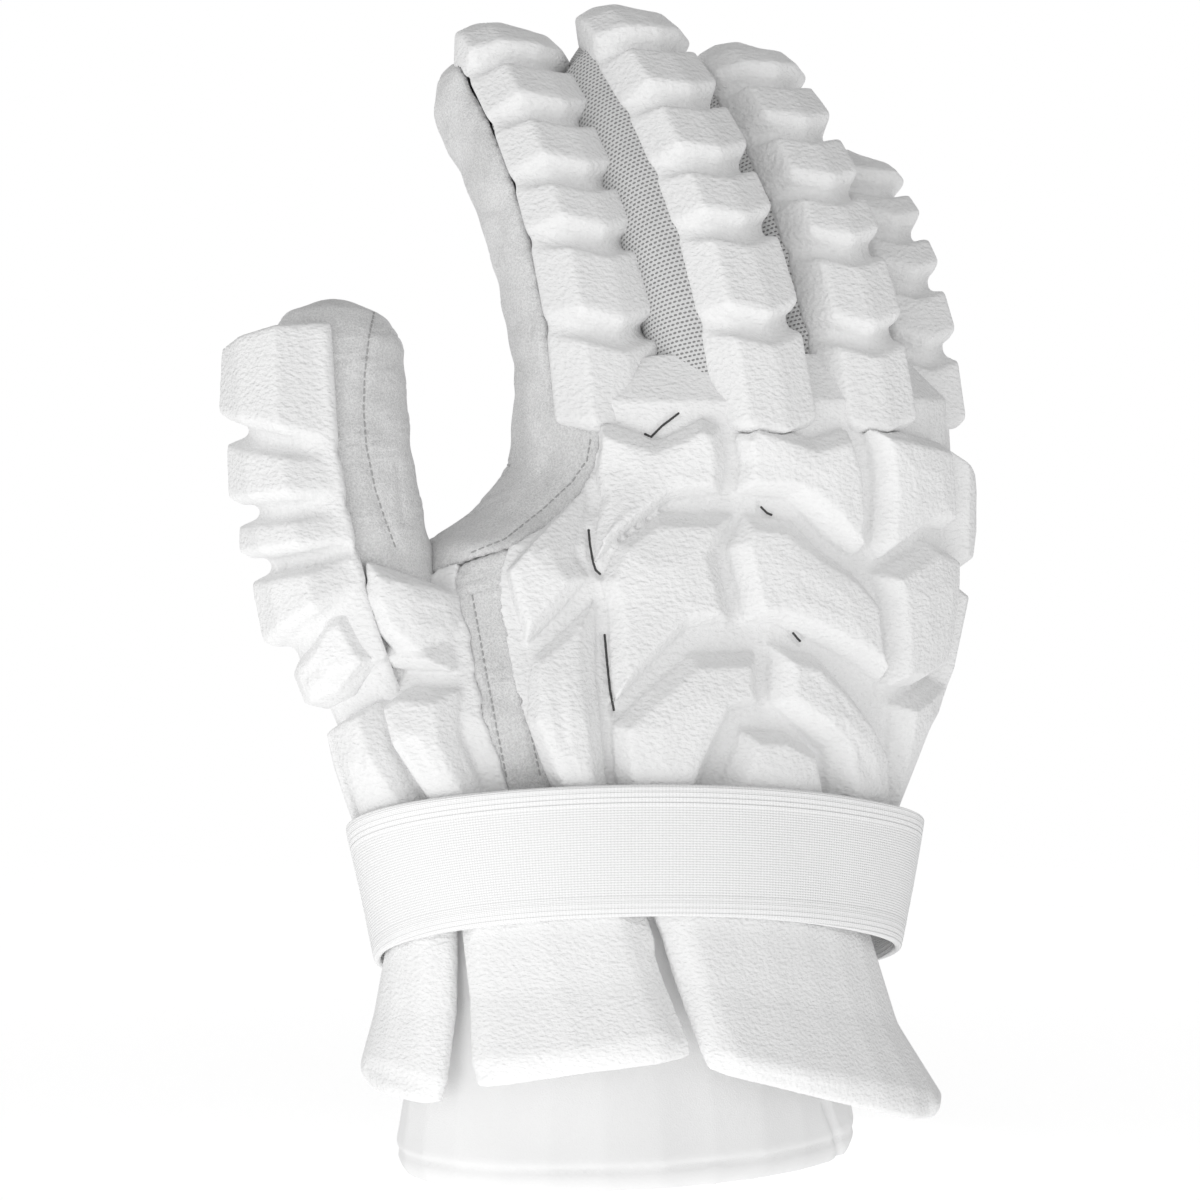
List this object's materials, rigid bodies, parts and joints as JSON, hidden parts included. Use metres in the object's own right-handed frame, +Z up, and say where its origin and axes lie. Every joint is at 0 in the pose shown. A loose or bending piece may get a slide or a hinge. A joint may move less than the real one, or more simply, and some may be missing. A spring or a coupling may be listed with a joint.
{
  "type": "lacrosse glove",
  "caption": "Padded right-hand field glove: foam-armoured back, fingers and thumb on a suede and knit hand, over a lined cuff with flared plates and a wrist strap.",
  "frame": {"origin": "middle of the bounding box on the ground, under the hem of the cuff that the glove stands on", "axes": "+Z up from the cuff to the fingertips, -Y towards the back of the hand, -X towards the thumb"},
  "size_m": [0.2264, 0.1316, 0.3292],
  "materials": {
    "leather": "white pebbled synthetic leather over foam",
    "suede": "light grey suede",
    "knit": "light grey knitted mesh",
    "lining": "smooth white padded lining",
    "elastic": "white fine-woven elastic"
  },
  "bodies": {
    "root": {"index_pad_1": "leather", "index_pad_2": "leather", "index_pad_3": "leather", "index_pad_4": "leather", "index_pad_5": "leather", "index_pad_6": "leather", "middle_pad_1": "leather", "middle_pad_2": "leather", "middle_pad_3": "leather", "middle_pad_4": "leather", "middle_pad_5": "leather", "middle_pad_6": "leather", "ring_pad_1": "leather", "ring_pad_2": "leather", "ring_pad_3": "leather", "ring_pad_4": "leather", "ring_pad_5": "leather", "ring_pad_6": "leather", "little_pad_1": "leather", "little_pad_2": "leather", "little_pad_3": "leather", "little_pad_4": "leather", "little_pad_5": "leather", "thumb_pad_1": "leather", "thumb_pad_2": "leather", "thumb_pad_3": "leather", "thumb_cap": "leather", "thumb_root_far": "leather", "thumb_root_near": "leather", "knuckle_index": "leather", "knuckle_middle": "leather", "knuckle_ring": "leather", "knuckle_little": "leather", "back_index": "leather", "back_middle": "leather", "back_ring": "leather", "back_little": "leather", "wrist_index": "leather", "wrist_ring": "leather", "wrist_middle": "leather", "web_upper": "leather", "web_lower": "leather", "thumb_base_near": "leather", "thumb_base_far": "leather", "thumb_base_side": "leather", "index_gusset": "knit", "middle_gusset": "knit", "ring_gusset": "knit", "little_gusset": "knit", "thumb_sleeve": "suede", "palm": "suede", "back_panel": "leather", "suede_strip": "suede", "thumb_panel": "leather", "cuff_liner": "lining", "plate_thumb_side": "leather", "plate_middle": "leather", "plate_little_side": "leather", "wrist_strap": "elastic"}
  },
  "joints": []
}
